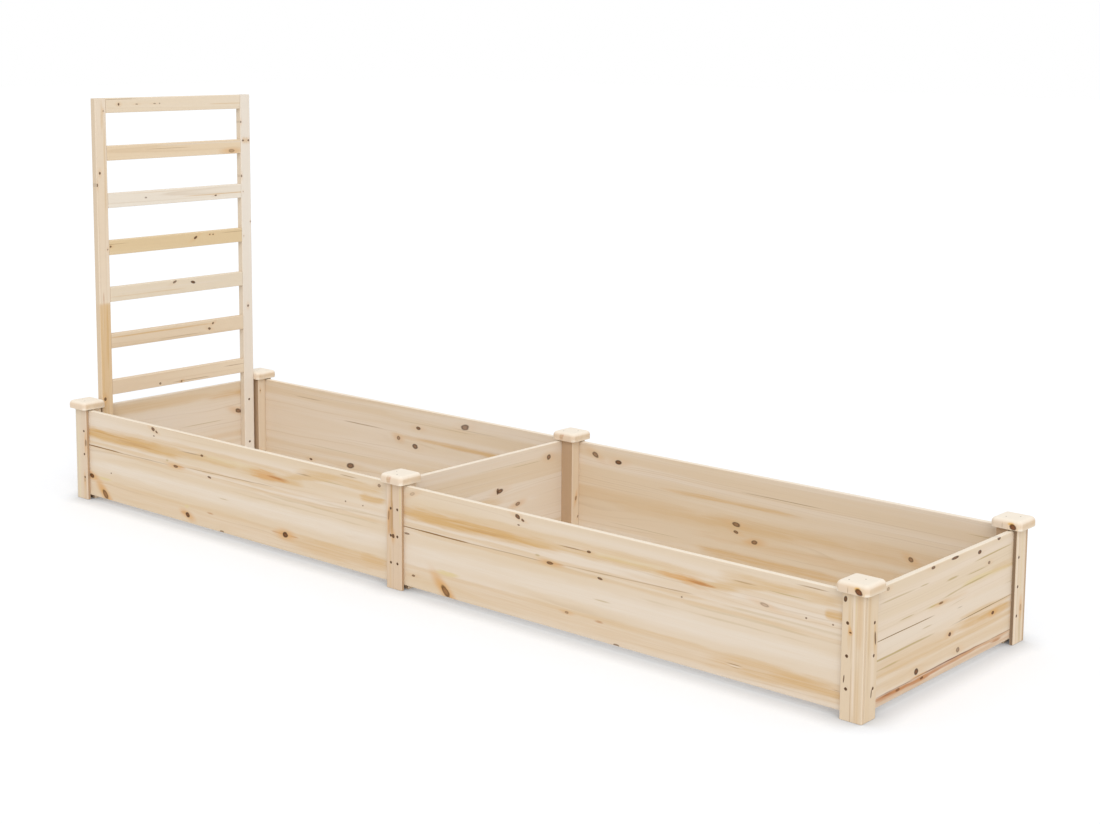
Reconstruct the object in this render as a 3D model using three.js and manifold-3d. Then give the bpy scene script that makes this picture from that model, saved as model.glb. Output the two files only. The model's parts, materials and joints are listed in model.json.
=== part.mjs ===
// Long garden planter of softwood boards, with a ladder trellis standing inside its left end.
//
// Six posts hold six wall boards. Each post is built up in layers: a cover board outside, the end
// of the wall board behind it, a block inside, and a moulded cap on top. Screws go through the
// covers and the wall boards into the blocks. A divider board ties the two middle posts together.
//
// Millimetres, +Z up. The front is at -Y and the trellis at -X. The origin is on the ground, under
// the middle of the planter. Inside this file, x runs from 0 at the left outer face of the posts to
// bedLength, and y from 0 at the front outer face to bedWidth; the last group moves that to the
// origin.
import * as THREE from 'three';
import Module from 'manifold-3d';
import { mergeVertices } from 'three/addons/utils/BufferGeometryUtils.js';

const wasm = await Module();
wasm.setup();

// ---------- driving sizes ----------

const bedLength = 2340;
const bedWidth = 612;
const jointGap = 0.3;

const postSide = 46;
const postAboveWall = 3;
const coverThickness = 8;

const wallThickness = 12;
const wallHeight = 220;
const wallBottom = 12;
const dividerThickness = 12;

const capOuterOverhang = 12.5;
const capInnerOverhang = 9.5;
const capThickness = 20;
const capCornerRadius = 10.5;
const capNoseRadius = 10;
const capUnderEase = 1.5;

const screwRows = 3;
const lowestScrew = 58;
const screwPitch = 60;
const screwFromFreeEdge = 11.5;
const middleScrewSpread = 20;
const screwHole = 3.6;
const screwHead = 7;
const countersinkDepth = 2;

const trellisTop = 1024;
const trellisToCap = 0.5;
const trellisThickness = 18;
const uprightWidth = 33;
const railHeight = 37.5;
const railPitch = 121;
const railCount = 7;
const trellisScrewInset = 50;

// How far the long edges of each kind of timber are rounded.
const coverEase = 1.6;
const wallEase = 2.2;
const blockEase = 1.2;
const trellisEase = 1.8;

// ---------- sizes that follow ----------

const postHeight = wallBottom + wallHeight + postAboveWall;
// Layers of a post, counted inwards from its outer face.
const wallFront = coverThickness + jointGap;
const wallBack = wallFront + wallThickness;
const blockFront = wallBack + jointGap;
const blockSide = postSide - blockFront;
const capSide = postSide + capOuterOverhang + capInnerOverhang;
const middle = bedLength / 2;

// ---------- timber ----------

const finishes = {
  wall: { color: 0xdecbb7, roughness: 0.72 },
  post: { color: 0xe0c9ab, roughness: 0.7 },
  cap: { color: 0xefe0cb, roughness: 0.66 },
  trellis: { color: 0xcfa87c, roughness: 0.72 },
};

function addPiece(group, name, finish, geometry, centre) {
  const material = new THREE.MeshStandardMaterial({ ...finishes[finish], metalness: 0 });
  const piece = new THREE.Mesh(geometry, material);
  piece.name = name;
  piece.position.set(...centre);
  group.add(piece);
}

function roundedRectangle(width, height, radius) {
  const x = width / 2 - radius;
  const y = height / 2 - radius;
  const outline = new THREE.Shape();
  outline.absarc(x, y, radius, 0, Math.PI / 2);
  outline.absarc(-x, y, radius, Math.PI / 2, Math.PI);
  outline.absarc(-x, -y, radius, Math.PI, 1.5 * Math.PI);
  outline.absarc(x, -y, radius, 1.5 * Math.PI, 2 * Math.PI);
  outline.closePath();
  return outline;
}

// A planed board centred on the origin, with its grain along one axis and all its edges eased.
// size is [x, y, z].
function easedBoard(size, grain, ease) {
  const sections = { x: [size[2], size[1]], y: [size[0], size[2]], z: [size[0], size[1]] };
  const lengths = { x: size[0], y: size[1], z: size[2] };
  const endEase = ease * 0.6;
  const depth = lengths[grain] - 2 * endEase;
  const geometry = new THREE.ExtrudeGeometry(roundedRectangle(...sections[grain], ease), {
    depth,
    steps: 1,
    curveSegments: 2,
    bevelThickness: endEase,
    bevelSize: endEase,
    bevelOffset: -endEase,
    bevelSegments: 1,
  });
  geometry.translate(0, 0, -depth / 2);
  if (grain === 'x') geometry.rotateY(Math.PI / 2);
  if (grain === 'y') geometry.rotateX(-Math.PI / 2);
  return geometry;
}

// Lowest coordinate of a piece that starts at a depth inside one end of an overall length.
function fromEnd(isFarEnd, overall, depth, size) {
  return isFarEnd ? overall - depth - size : depth;
}

function centreOf(low, size) {
  return low.map((value, axis) => value + size[axis] / 2);
}

// ---------- screw holes ----------

// A closed geometry as a solid that can be cut. Triangles that closed up on an axis are left out.
function solidFrom(geometry) {
  const bare = geometry.clone();
  bare.deleteAttribute('normal');
  bare.deleteAttribute('uv');
  const merged = mergeVertices(bare, 1e-4);
  const corners = merged.index.array;
  const triangles = [];
  for (let i = 0; i < corners.length; i += 3) {
    const [a, b, c] = [corners[i], corners[i + 1], corners[i + 2]];
    if (a !== b && b !== c && c !== a) triangles.push(a, b, c);
  }
  return new wasm.Manifold(new wasm.Mesh({
    numProp: 3,
    vertProperties: new Float32Array(merged.attributes.position.array),
    triVerts: new Uint32Array(triangles),
  }));
}

function geometryFrom(solid) {
  const mesh = solid.getMesh();
  const geometry = new THREE.BufferGeometry();
  geometry.setAttribute('position', new THREE.BufferAttribute(mesh.vertProperties, 3));
  geometry.setIndex(new THREE.BufferAttribute(mesh.triVerts, 1));
  return geometry;
}

// The empty space of one countersunk hole, entering at the origin and running along +Y.
function screwSpace(thickness) {
  const beyond = 1;
  const profile = [
    new THREE.Vector2(0, -beyond),
    new THREE.Vector2(screwHead / 2, -beyond),
    new THREE.Vector2(screwHead / 2, 0),
    new THREE.Vector2(screwHole / 2, countersinkDepth),
    new THREE.Vector2(screwHole / 2, thickness + beyond),
    new THREE.Vector2(0, thickness + beyond),
  ];
  return new THREE.LatheGeometry(profile, 12);
}

// Drills countersunk holes through a board that is centred on the origin. turn is the rotation
// about Z from a hole that enters at the -Y face; each spot is [sideways, z] on the board's face.
function drilled(board, thickness, spots, turn) {
  let solid = solidFrom(board);
  for (const [sideways, z] of spots) {
    const space = screwSpace(thickness);
    space.translate(sideways, -thickness / 2, z);
    space.rotateZ(turn);
    solid = solid.subtract(solidFrom(space));
  }
  return geometryFrom(solid);
}

// Heights of the screws in a post, measured from the middle of its height.
function screwHeights() {
  return Array.from({ length: screwRows }, (_, row) =>
    lowestScrew + row * screwPitch - postHeight / 2);
}

// ---------- post caps ----------

// Corners of a cap's outline, drawn in by inset on all sides.
function capOutline(inset, z) {
  const side = capSide - 2 * inset;
  const sharpest = 0.3;
  const radius = Math.max(capCornerRadius - inset, sharpest);
  const points = roundedRectangle(side, side, radius).getPoints(3);
  points.pop();
  return points.map((point) => new THREE.Vector3(point.x, point.y, z));
}

// Closed solid through a stack of convex outlines with equally many points, the lowest first.
function loft(outlines) {
  const count = outlines[0].length;
  const positions = outlines.flat().flatMap((point) => [point.x, point.y, point.z]);
  const index = [];
  for (let level = 0; level < outlines.length - 1; level += 1) {
    for (let i = 0; i < count; i += 1) {
      const a = level * count + i;
      const b = level * count + (i + 1) % count;
      index.push(a, b, b + count, a, b + count, a + count);
    }
  }
  const top = (outlines.length - 1) * count;
  for (let i = 1; i < count - 1; i += 1) {
    index.push(0, i + 1, i);
    index.push(top, top + i, top + i + 1);
  }
  const geometry = new THREE.BufferGeometry();
  geometry.setAttribute('position', new THREE.Float32BufferAttribute(positions, 3));
  geometry.setIndex(index);
  return geometry;
}

// A square cap with a bullnose round its upper edge and a small ease below.
function capGeometry() {
  const noseSteps = 5;
  const outlines = [capOutline(capUnderEase, 0), capOutline(0, capUnderEase)];
  for (let step = 0; step <= noseSteps; step += 1) {
    const angle = (step / noseSteps) * (Math.PI / 2);
    const inset = capNoseRadius * (1 - Math.cos(angle));
    const rise = capNoseRadius * Math.sin(angle);
    outlines.push(capOutline(inset, capThickness - capNoseRadius + rise));
  }
  return loft(outlines);
}

// A cap stands out further outside the bed than inside it.
function addCap(group, name, left, atRear) {
  const front = fromEnd(atRear, bedWidth, -capOuterOverhang, capSide);
  const centre = [left + capSide / 2, front + capSide / 2, postHeight + jointGap];
  addPiece(group, `${name}_cap`, 'cap', capGeometry(), centre);
}

// ---------- posts ----------

// A corner post: a full-width cover on the long side, a narrower one butted behind it on the end,
// and a square block inside the corner of the two wall boards.
function addCornerPost(group, name, atRight, atRear) {
  const heights = screwHeights();
  const inwardX = atRight ? -1 : 1;
  const inwardY = atRear ? -1 : 1;

  const longCover = [postSide, coverThickness, postHeight];
  const longLow = [
    fromEnd(atRight, bedLength, 0, postSide),
    fromEnd(atRear, bedWidth, 0, coverThickness),
    0,
  ];
  const longHole = postSide / 2 - screwFromFreeEdge;
  const longSpots = heights.map((z) => [longHole * inwardX * inwardY, z]);
  const longBoard = easedBoard(longCover, 'z', coverEase);
  addPiece(group, `${name}_side_cover`, 'post',
    drilled(longBoard, coverThickness, longSpots, atRear ? Math.PI : 0), centreOf(longLow, longCover));

  const endWidth = postSide - wallFront;
  const endCover = [coverThickness, endWidth, postHeight];
  const endLow = [
    fromEnd(atRight, bedLength, 0, coverThickness),
    fromEnd(atRear, bedWidth, wallFront, endWidth),
    0,
  ];
  const endHole = endWidth / 2 - screwFromFreeEdge;
  const endSpots = heights.map((z) => [-endHole * inwardX * inwardY, z]);
  const endBoard = easedBoard(endCover, 'z', coverEase);
  addPiece(group, `${name}_end_cover`, 'post',
    drilled(endBoard, coverThickness, endSpots, -inwardX * Math.PI / 2), centreOf(endLow, endCover));

  const block = [blockSide, blockSide, postHeight];
  const blockLow = [
    fromEnd(atRight, bedLength, blockFront, blockSide),
    fromEnd(atRear, bedWidth, blockFront, blockSide),
    0,
  ];
  addPiece(group, `${name}_block`, 'post', easedBoard(block, 'z', blockEase),
    centreOf(blockLow, block));

  addCap(group, name, fromEnd(atRight, bedLength, -capOuterOverhang, capSide), atRear);
}

// A middle post: one cover over the butting ends of two wall boards, and a block that leaves room
// for the divider on its left side.
function addMiddlePost(group, name, atRear) {
  const left = middle - postSide / 2;
  const cover = [postSide, coverThickness, postHeight];
  const coverLow = [left, fromEnd(atRear, bedWidth, 0, coverThickness), 0];
  const spots = screwHeights().flatMap((z) =>
    [[-middleScrewSpread / 2, z], [middleScrewSpread / 2, z]]);
  addPiece(group, `${name}_side_cover`, 'post',
    drilled(easedBoard(cover, 'z', coverEase), coverThickness, spots, atRear ? Math.PI : 0),
    centreOf(coverLow, cover));

  const besideDivider = dividerThickness + jointGap;
  const block = [postSide - besideDivider, blockSide, postHeight];
  const blockLow = [left + besideDivider, fromEnd(atRear, bedWidth, blockFront, blockSide), 0];
  addPiece(group, `${name}_block`, 'post', easedBoard(block, 'z', blockEase),
    centreOf(blockLow, block));

  addCap(group, name, middle - capSide / 2, atRear);
}

// ---------- walls ----------

// Long wall boards run from the end cover to the middle of the bed; end boards fit between them.
function addWalls(group) {
  const longSize = [middle - wallFront - jointGap / 2, wallThickness, wallHeight];
  for (const [row, atRear] of [['front', false], ['rear', true]]) {
    for (const [side, atRight] of [['left', false], ['right', true]]) {
      const low = [
        fromEnd(atRight, bedLength, wallFront, longSize[0]),
        fromEnd(atRear, bedWidth, wallFront, wallThickness),
        wallBottom,
      ];
      addPiece(group, `${row}_${side}_wall_board`, 'wall', easedBoard(longSize, 'x', wallEase),
        centreOf(low, longSize));
    }
  }

  const endSize = [wallThickness, bedWidth - 2 * blockFront, wallHeight];
  for (const [side, atRight] of [['left', false], ['right', true]]) {
    const low = [fromEnd(atRight, bedLength, wallFront, wallThickness), blockFront, wallBottom];
    addPiece(group, `${side}_end_wall_board`, 'wall', easedBoard(endSize, 'y', wallEase),
      centreOf(low, endSize));
  }

  const dividerSize = [dividerThickness, bedWidth - 2 * blockFront, wallHeight];
  const dividerLow = [middle - postSide / 2, blockFront, wallBottom];
  addPiece(group, 'middle_divider_board', 'wall', easedBoard(dividerSize, 'y', wallEase),
    centreOf(dividerLow, dividerSize));
}

// ---------- trellis ----------

// Two uprights screwed to the inside of the left end board, with the rails butted between them.
// The trellis is as wide as fits between the two left caps.
function addTrellis(group) {
  const back = blockFront;
  const front = postSide + capInnerOverhang + trellisToCap;
  const uprightHeight = trellisTop - wallBottom;
  const upright = [trellisThickness, uprightWidth, uprightHeight];
  const screwSpots = [wallBottom + trellisScrewInset, wallBottom + wallHeight - trellisScrewInset]
    .map((z) => [0, z - wallBottom - uprightHeight / 2]);
  for (const [row, atRear] of [['front', false], ['rear', true]]) {
    const low = [back, fromEnd(atRear, bedWidth, front, uprightWidth), wallBottom];
    const board = easedBoard(upright, 'z', trellisEase);
    addPiece(group, `trellis_${row}_upright`, 'trellis',
      drilled(board, trellisThickness, screwSpots, Math.PI / 2), centreOf(low, upright));
  }

  const railStart = front + uprightWidth + jointGap;
  const rail = [trellisThickness, bedWidth - 2 * railStart, railHeight];
  for (let number = 1; number <= railCount; number += 1) {
    const low = [back, railStart, trellisTop - railHeight - (number - 1) * railPitch];
    addPiece(group, `trellis_rail_${number}`, 'trellis', easedBoard(rail, 'y', trellisEase),
      centreOf(low, rail));
  }
}

// ---------- assembly ----------

const group = new THREE.Group();
group.position.set(-bedLength / 2, -bedWidth / 2, 0);
addCornerPost(group, 'front_left_post', false, false);
addCornerPost(group, 'front_right_post', true, false);
addCornerPost(group, 'rear_left_post', false, true);
addCornerPost(group, 'rear_right_post', true, true);
addMiddlePost(group, 'front_middle_post', false);
addMiddlePost(group, 'rear_middle_post', true);
addWalls(group);
addTrellis(group);

export default group;
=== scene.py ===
# Planter with trellis: the finished look of a long softwood garden bed, built on its CAD frame.
#
# The file follows the bed as it is put together: the wall boards, the divider, the layered posts,
# their caps, the trellis and the screws, and then the floor, the light and the camera.
import json
import math
import random

import bmesh
import bpy
from mathutils import Matrix, Vector

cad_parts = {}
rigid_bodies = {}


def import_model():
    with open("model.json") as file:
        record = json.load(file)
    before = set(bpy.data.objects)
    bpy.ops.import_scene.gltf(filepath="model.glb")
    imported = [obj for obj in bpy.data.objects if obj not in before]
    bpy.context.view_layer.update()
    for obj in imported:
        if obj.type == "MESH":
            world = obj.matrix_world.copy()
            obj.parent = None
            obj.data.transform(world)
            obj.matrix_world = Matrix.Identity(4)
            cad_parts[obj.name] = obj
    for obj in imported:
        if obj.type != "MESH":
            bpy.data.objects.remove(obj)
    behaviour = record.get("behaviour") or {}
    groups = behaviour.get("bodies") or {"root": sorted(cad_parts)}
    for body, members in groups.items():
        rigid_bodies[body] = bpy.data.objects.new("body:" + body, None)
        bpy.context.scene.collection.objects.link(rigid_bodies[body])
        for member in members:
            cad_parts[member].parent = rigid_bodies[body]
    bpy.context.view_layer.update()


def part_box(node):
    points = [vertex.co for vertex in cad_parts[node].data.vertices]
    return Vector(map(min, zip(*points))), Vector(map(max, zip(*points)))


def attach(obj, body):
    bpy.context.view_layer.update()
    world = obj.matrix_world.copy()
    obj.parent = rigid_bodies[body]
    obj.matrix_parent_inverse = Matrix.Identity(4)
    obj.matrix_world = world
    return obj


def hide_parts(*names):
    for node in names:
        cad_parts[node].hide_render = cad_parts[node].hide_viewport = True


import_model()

MM = 0.001

# The CAD's own objects are left unselected, so that no edit below reaches them.
for object_of_cad in bpy.context.scene.objects:
    object_of_cad.select_set(False)


# ---------- Front long walls ----------
# Two wide boards of planed, unfinished softwood, one for each bay, laid on edge. They are plain
# sawn, so soft warm bands and a few thin dark growth lines run along them, round the odd knot.
# Their long edges are eased by hand, and their ends are held behind the post covers.

BODY = "root"


class Wiring:
    """Adds nodes to one node tree. An input is a number, a tuple or another node's output."""

    def __init__(self, tree):
        self.tree = tree

    def node(self, kind, inputs=(), **settings):
        node = self.tree.nodes.new(kind)
        for setting, value in settings.items():
            setattr(node, setting, value)
        self.fill(node, dict(inputs))
        return node

    def fill(self, node, inputs):
        """Sets a node's inputs, or joins them to outputs, by their names or numbers."""
        for name, value in inputs.items():
            if isinstance(value, bpy.types.NodeSocket):
                self.tree.links.new(value, node.inputs[name])
            else:
                node.inputs[name].default_value = value

    def use(self, group, inputs):
        """The outputs of a shader group, placed with its own values."""
        return self.node("ShaderNodeGroup", inputs, node_tree=group).outputs

    def math(self, operation, *numbers):
        return self.node("ShaderNodeMath", enumerate(numbers), operation=operation).outputs[0]

    def times(self, first, second):
        return self.math("MULTIPLY", first, second)

    def over(self, first, second):
        return self.math("DIVIDE", first, second)

    def plus(self, first, second):
        return self.math("ADD", first, second)

    def minus(self, first, second):
        return self.math("SUBTRACT", first, second)

    def vector(self, operation, *vectors):
        node = self.node("ShaderNodeVectorMath", enumerate(vectors), operation=operation)
        return node.outputs["Value" if operation == "LENGTH" else "Vector"]

    def ramp(self, value, start, end):
        """0 at start and before, 1 at end and after, and smooth between them."""
        inputs = {"Value": value, "From Min": start, "From Max": end}
        node = self.node("ShaderNodeMapRange", inputs, interpolation_type="SMOOTHSTEP")
        return node.outputs["Result"]

    def noise(self, place, detail=2.0, colour=False):
        inputs = {"Vector": place, "Scale": 1.0, "Detail": detail, "Roughness": 0.55}
        return self.node("ShaderNodeTexNoise", inputs).outputs["Color" if colour else "Fac"]

    def stretched(self, place, along, across, seed=0.0):
        """The place with so many pattern lengths to the metre along and across the grain."""
        scaled = self.vector("MULTIPLY", place, (along, across, across))
        return self.vector("ADD", scaled, self.xyz(seed, seed, seed))

    def xyz(self, x=0.0, y=0.0, z=0.0):
        return self.node("ShaderNodeCombineXYZ", {"X": x, "Y": y, "Z": z}).outputs[0]

    def split(self, vector):
        return self.node("ShaderNodeSeparateXYZ", {"Vector": vector}).outputs

    def mix(self, share, first, second):
        inputs = {0: share, 6: first, 7: second}
        return self.node("ShaderNodeMix", inputs, data_type="RGBA").outputs[2]


def cleared(owner):
    """The wiring of a new material or world, with its first nodes taken out."""
    owner.use_nodes = True
    owner.node_tree.nodes.clear()
    return Wiring(owner.node_tree)


def new_group(name, inputs, outputs):
    """An empty shader group. The names of its sockets are listed by their kind."""
    kinds = {"number": "NodeSocketFloat", "vector": "NodeSocketVector", "colour": "NodeSocketColor"}
    group = bpy.data.node_groups.new(name, "ShaderNodeTree")
    for way, sockets in (("INPUT", inputs), ("OUTPUT", outputs)):
        for kind, names in sockets.items():
            for socket in names.split(", "):
                group.interface.new_socket(socket, in_out=way, socket_type=kinds[kind])
    w = Wiring(group)
    return group, w, w.node("NodeGroupInput").outputs, w.node("NodeGroupOutput")


def tone(red, green, blue):
    """A colour as a screen shows it, in 0 to 255, turned into the linear values of a shader."""
    parts = [value / 255 for value in (red, green, blue)]
    linear = [p / 12.92 if p <= 0.04045 else ((p + 0.055) / 1.055) ** 2.4 for p in parts]
    return (*linear, 1.0)


def build_knot_group():
    """One knot: the grain is pushed aside round it, and it has a core, a dark rim and a stain.
    Every distance from its middle is counted in its own radius."""
    group, w, given, out = new_group(
        "branch knot",
        {"vector": "Place, Wander, Middle",
         "number": "Radius, Stretch, Turn, Stain Size, Stain, Depth, "
                   "Core So Far, Rim So Far, Stain So Far"},
        {"vector": "Place", "number": "Core, Rim, Stain"})
    radius, depth = given["Radius"], given["Depth"]
    away = w.vector("MULTIPLY", w.vector("SUBTRACT", given["Place"], given["Middle"]), (1, 1, 0))
    turned = w.node("ShaderNodeVectorRotate", {"Vector": away, "Angle": given["Turn"]},
                    rotation_type="Z_AXIS").outputs[0]
    parts = w.split(turned)
    long_radius = w.times(radius, given["Stretch"])
    round_place = w.xyz(w.over(parts["X"], long_radius), w.over(parts["Y"], radius))
    ragged = w.vector("ADD", round_place, w.vector("MULTIPLY", given["Wander"], (0.35, 0.35, 0)))
    distance = w.vector("LENGTH", ragged)
    ring_spread, ring_depth = 17.0, 0.07
    year_rings = w.times(w.math("SINE", w.times(distance, ring_spread)), ring_depth)
    year_rings = w.plus(0.95, year_rings)
    core = w.times(w.ramp(distance, 1.12, 0.7), w.times(depth, year_rings))
    rim = w.times(w.ramp(distance, 0.45, 0.9), w.ramp(distance, 1.35, 0.95))
    rim = w.times(rim, depth)
    stain_place = w.vector("MULTIPLY", ragged, (0.5, 1.0, 0))
    stain_reach = w.plus(given["Stain Size"], 1.0)
    stain = w.ramp(w.over(w.vector("LENGTH", stain_place), stain_reach), 1.0, 0.15)
    stain = w.times(stain, given["Stain"])
    push_along, push_across, push_share = 5.5, 2.6, -0.8
    straight = w.split(away)
    along = w.math("ABSOLUTE", w.over(straight["X"], w.times(long_radius, push_along)))
    across = w.math("ABSOLUTE", w.over(straight["Y"], w.times(radius, push_across)))
    squares = w.plus(w.math("POWER", along, 2.0), w.math("POWER", across, 2.0))
    push = w.math("EXPONENT", w.times(squares, -1.0))
    aside = w.times(w.times(straight["Y"], push), push_share)
    w.fill(out, {"Place": w.vector("ADD", given["Place"], w.xyz(0.0, aside, 0.0)),
                 "Core": w.math("MAXIMUM", core, given["Core So Far"]),
                 "Rim": w.math("MAXIMUM", rim, given["Rim So Far"]),
                 "Stain": w.math("MAXIMUM", stain, given["Stain So Far"])})
    return group


def build_streak_group():
    """A long mark in the wood: a dark growth line, a resin streak, a glue line or a warm patch."""
    group, w, given, out = new_group(
        "streak",
        {"vector": "Place, Wander, Middle", "colour": "Colour, Mark",
         "number": "Strength, Half Length, Half Width, Slope, Feather, Bluntness, Fibre"},
        {"colour": "Colour"})
    parts = w.split(w.vector("SUBTRACT", given["Place"], given["Middle"]))
    climb = w.times(parts["X"], given["Slope"])
    along = w.math("ABSOLUTE", w.over(parts["X"], given["Half Length"]))
    along = w.math("POWER", along, given["Bluntness"])
    across = w.over(w.minus(parts["Y"], climb), given["Half Width"])
    drift = w.vector("MULTIPLY", given["Wander"], (1, 1, 0))
    feather = w.node("ShaderNodeVectorMath", {0: drift, "Scale": given["Feather"]},
                     operation="SCALE").outputs["Vector"]
    distance = w.vector("LENGTH", w.vector("ADD", w.xyz(along, across), feather))
    share = w.times(w.ramp(distance, 1.0, 0.25), given["Strength"])
    fibrous = w.plus(0.68, w.times(w.ramp(given["Fibre"], 0.36, 0.62), 0.5))
    share = w.math("MINIMUM", w.times(share, fibrous), 1.0)
    w.fill(out, {"Colour": w.mix(share, given["Colour"], given["Mark"])})
    return group


def build_rings_group():
    """Growth rings of a log, cut by the board: broad light and warm bands and thin late wood."""
    group, w, given, out = new_group(
        "growth rings",
        {"vector": "Place, Heart", "number": "Slope, Ring Width, Waver, Seed"},
        {"number": "Band, Line, Fibre"})
    place, seed = given["Place"], given["Seed"]
    slow = w.noise(w.stretched(place, 1.3, 8.0, seed), 1.0)
    quick = w.noise(w.stretched(place, 7.0, 55.0, seed), 1.0)
    offset = w.plus(w.minus(slow, 0.5), w.times(w.minus(quick, 0.5), 0.16))
    offset = w.times(offset, given["Waver"])
    parts = w.split(w.vector("SUBTRACT", place, given["Heart"]))
    lift = w.minus(parts["Z"], w.times(parts["X"], given["Slope"]))
    from_heart = w.vector("LENGTH", w.xyz(0.0, parts["Y"], lift))
    ring = w.over(w.plus(from_heart, offset), given["Ring Width"])
    band = w.noise(w.xyz(w.times(parts["X"], 0.7), w.times(ring, 0.19), seed), 2.0)
    phase = w.math("FRACT", ring)
    line = w.times(w.ramp(phase, 0.5, 0.9), w.ramp(phase, 1.0, 0.93))
    some = w.noise(w.xyz(w.times(parts["X"], 1.9), w.times(ring, 0.9), seed), 1.0)
    fine = w.noise(w.stretched(place, 9.0, 620.0, seed), 3.0)
    broad = w.noise(w.stretched(place, 3.0, 95.0, seed), 2.0)
    w.fill(out, {"Band": w.ramp(band, 0.36, 0.64),
                 "Line": w.times(line, w.ramp(some, 0.46, 0.72)),
                 "Fibre": w.plus(w.times(fine, 0.55), w.times(broad, 0.45))})
    return group


def build_edges_group():
    """A squared board's narrow sides, sawn ends and eased corners, laid over its colour. The narrow
    sides take painted light: painted shade on post covers, blocks and trellis uprights, and a
    painted highlight on walls and caps. The eased corners take a pale painted highlight.
    """
    group, w, given, out = new_group(
        "board edges",
        {"vector": "Place, Half Size", "number": "Arris, Side Reach",
         "colour": "Colour, Side Tone, End Tone"},
        {"colour": "Colour"})
    inside = w.split(w.vector("SUBTRACT", given["Half Size"], w.vector("ABSOLUTE", given["Place"])))
    x, y, z = inside["X"], inside["Y"], inside["Z"]
    low = w.math("MINIMUM", w.math("MINIMUM", w.math("MAXIMUM", x, y), w.math("MAXIMUM", y, z)),
                 w.math("MAXIMUM", x, z))
    below_face = w.ramp(z, 0.3 * MM, 1.1 * MM)
    side = w.times(w.ramp(y, given["Side Reach"], 0.2 * MM), below_face)
    end = w.ramp(x, 1.2 * MM, 0.2 * MM)
    arris = w.ramp(low, given["Arris"], 0.0)
    # Painted light: the narrow sides take each board's side tone, which is painted shade on post
    # covers, blocks and trellis uprights and a painted highlight on walls and caps.
    colour = w.mix(w.times(side, 0.8), given["Colour"], given["Side Tone"])
    colour = w.mix(w.times(end, 0.45), colour, given["End Tone"])
    # A pale painted highlight along the eased corners.
    colour = w.mix(w.times(arris, 0.35), colour, tone(244, 232, 214))
    w.fill(out, {"Colour": colour})
    return group


def build_softwood_group():
    """Colour, roughness and relief of planed softwood, from its rings and its fibres."""
    group, w, given, out = new_group(
        "planed softwood",
        {"number": "Band, Line, Fibre, Core, Line Share", "colour": "Pale, Warm, Late"},
        {"colour": "Colour", "number": "Roughness, Height"})
    line, fibre, core = given["Line"], given["Fibre"], given["Core"]
    colour = w.mix(given["Band"], given["Pale"], given["Warm"])
    colour = w.mix(w.times(line, given["Line Share"]), colour, given["Late"])
    colour = w.mix(w.times(w.ramp(fibre, 0.4, 0.68), 0.25), colour, given["Warm"])
    rough = w.minus(w.plus(0.6, w.times(fibre, 0.16)), w.times(core, 0.14))
    height = w.plus(w.times(fibre, 0.5), w.times(line, 0.5))
    height = w.plus(height, w.times(core, 0.7))
    w.fill(out, {"Colour": colour, "Roughness": rough, "Height": height})
    return group


def build_knot_colour_group():
    """Lays the knots, with their rims and stains, over the colour of the wood."""
    group, w, given, out = new_group(
        "knot colour",
        {"number": "Core, Rim, Stain", "colour": "Colour, Knot, Knot Rim, Knot Stain"},
        {"colour": "Colour"})
    colour = w.mix(w.times(given["Stain"], 0.85), given["Colour"], given["Knot Stain"])
    colour = w.mix(given["Core"], colour, given["Knot"])
    colour = w.mix(w.times(given["Rim"], 0.85), colour, given["Knot Rim"])
    w.fill(out, {"Colour": colour})
    return group


knot_group = build_knot_group()
streak_group = build_streak_group()
rings_group = build_rings_group()
edges_group = build_edges_group()
softwood_group = build_softwood_group()
knot_colour_group = build_knot_colour_group()

# The walls' side tone is a pale cream painted highlight along their top and bottom edges.
WALL_TONES = {"Pale": tone(228, 213, 195), "Warm": tone(222, 202, 175), "Late": tone(182, 150, 106),
              "Knot": tone(112, 66, 28), "Knot Rim": tone(56, 34, 18), "Line Share": 0.3,
              "Knot Stain": tone(214, 164, 102), "Side Tone": tone(244, 233, 216)}
WALL_EASE = 2.2
SIDE_REACH = 1.2 * MM
STAIN_SIZE = 2.2
PIN_TONE = tone(112, 98, 74)
PIN_SIZE = {"Half Length": 2.2 * MM, "Half Width": 2.4 * MM}


class Board:
    """A board's box, and its own directions: x along the grain, y across its face, z out of it."""

    def __init__(self, node, grain, face):
        low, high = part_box(node)
        self.middle = (low + high) / 2
        self.size = high - low
        self.grain = Vector(grain)
        self.face = Vector(face)
        self.across = self.face.cross(self.grain)
        self.half = Vector([self.extent(d) / 2 for d in (self.grain, self.across, self.face)])
        self.turn = Matrix((self.grain, self.across, self.face)).transposed().to_euler()

    def extent(self, direction):
        return abs(self.size.dot(Vector([abs(part) for part in direction])))

    def spot(self, right, up):
        """A place on the face, in mm from its left edge and its foot, seen from outside."""
        right_way = Vector((0, 0, 1)).cross(self.face)
        world = right_way * (right * MM - self.extent(right_way) / 2)
        world += Vector((0, 0, 1)) * (up * MM - self.size.z / 2)
        return (world.dot(self.grain), world.dot(self.across), 0.0)


def knot(right, up, radius, stretch=1.2, turn=0, depth=0.9, stain=0.3):
    """A row of a list of knots: a place on the face, and a size, in mm. The turn is in degrees."""
    return right, up, radius, stretch, turn, depth, stain


def mark(right, up, half_length, half_width, colour, strength, feather=0.5, blunt=1, slope=0):
    """A row of a list of long marks, in mm. Each runs along the grain, or climbs by its slope."""
    return right, up, half_length, half_width, colour, strength, feather, blunt, slope


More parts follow.
